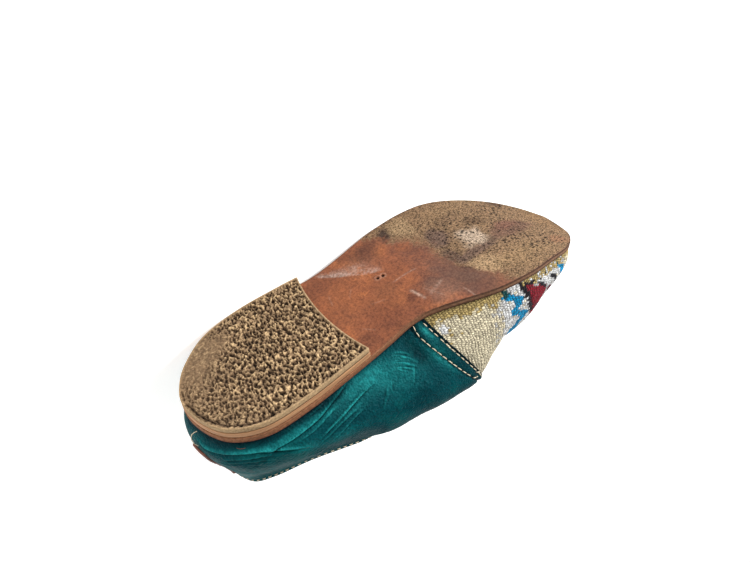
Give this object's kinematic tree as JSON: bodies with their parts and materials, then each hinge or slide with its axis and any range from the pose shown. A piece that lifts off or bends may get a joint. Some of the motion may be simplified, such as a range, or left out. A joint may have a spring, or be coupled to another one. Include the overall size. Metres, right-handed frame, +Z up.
{
  "type": "slip-on shoe",
  "caption": "Worn right-foot slip-on shoe with woven vamp, green leather quarters, leather sole and low crepe heel, lying on its outer side.",
  "frame": {"origin": "centre of the bounding box's base, on the floor that the shoe lies on", "axes": "+X from heel to toe, +Y the way the sole faces, +Z up, which is the shoe's big-toe side"},
  "size_m": [0.2646, 0.0758, 0.106],
  "materials": {
    "sole leather": "burnished at the waist, worn to a nap at the forefoot",
    "lift leather": "plain cut edge",
    "crepe rubber": "crumbly crepe, worn",
    "lining leather": "smooth, undyed",
    "green leather": "soft, semi-gloss, creased"
  },
  "bodies": {
    "root": {"outsole": "sole leather", "heel_lift": "lift leather", "heel_top_piece": "crepe rubber", "insole": "lining leather", "upper": "green leather", "quarter_band_inner": "green leather", "quarter_band_outer": "green leather", "back_seam_strip": "lift leather"}
  },
  "joints": []
}
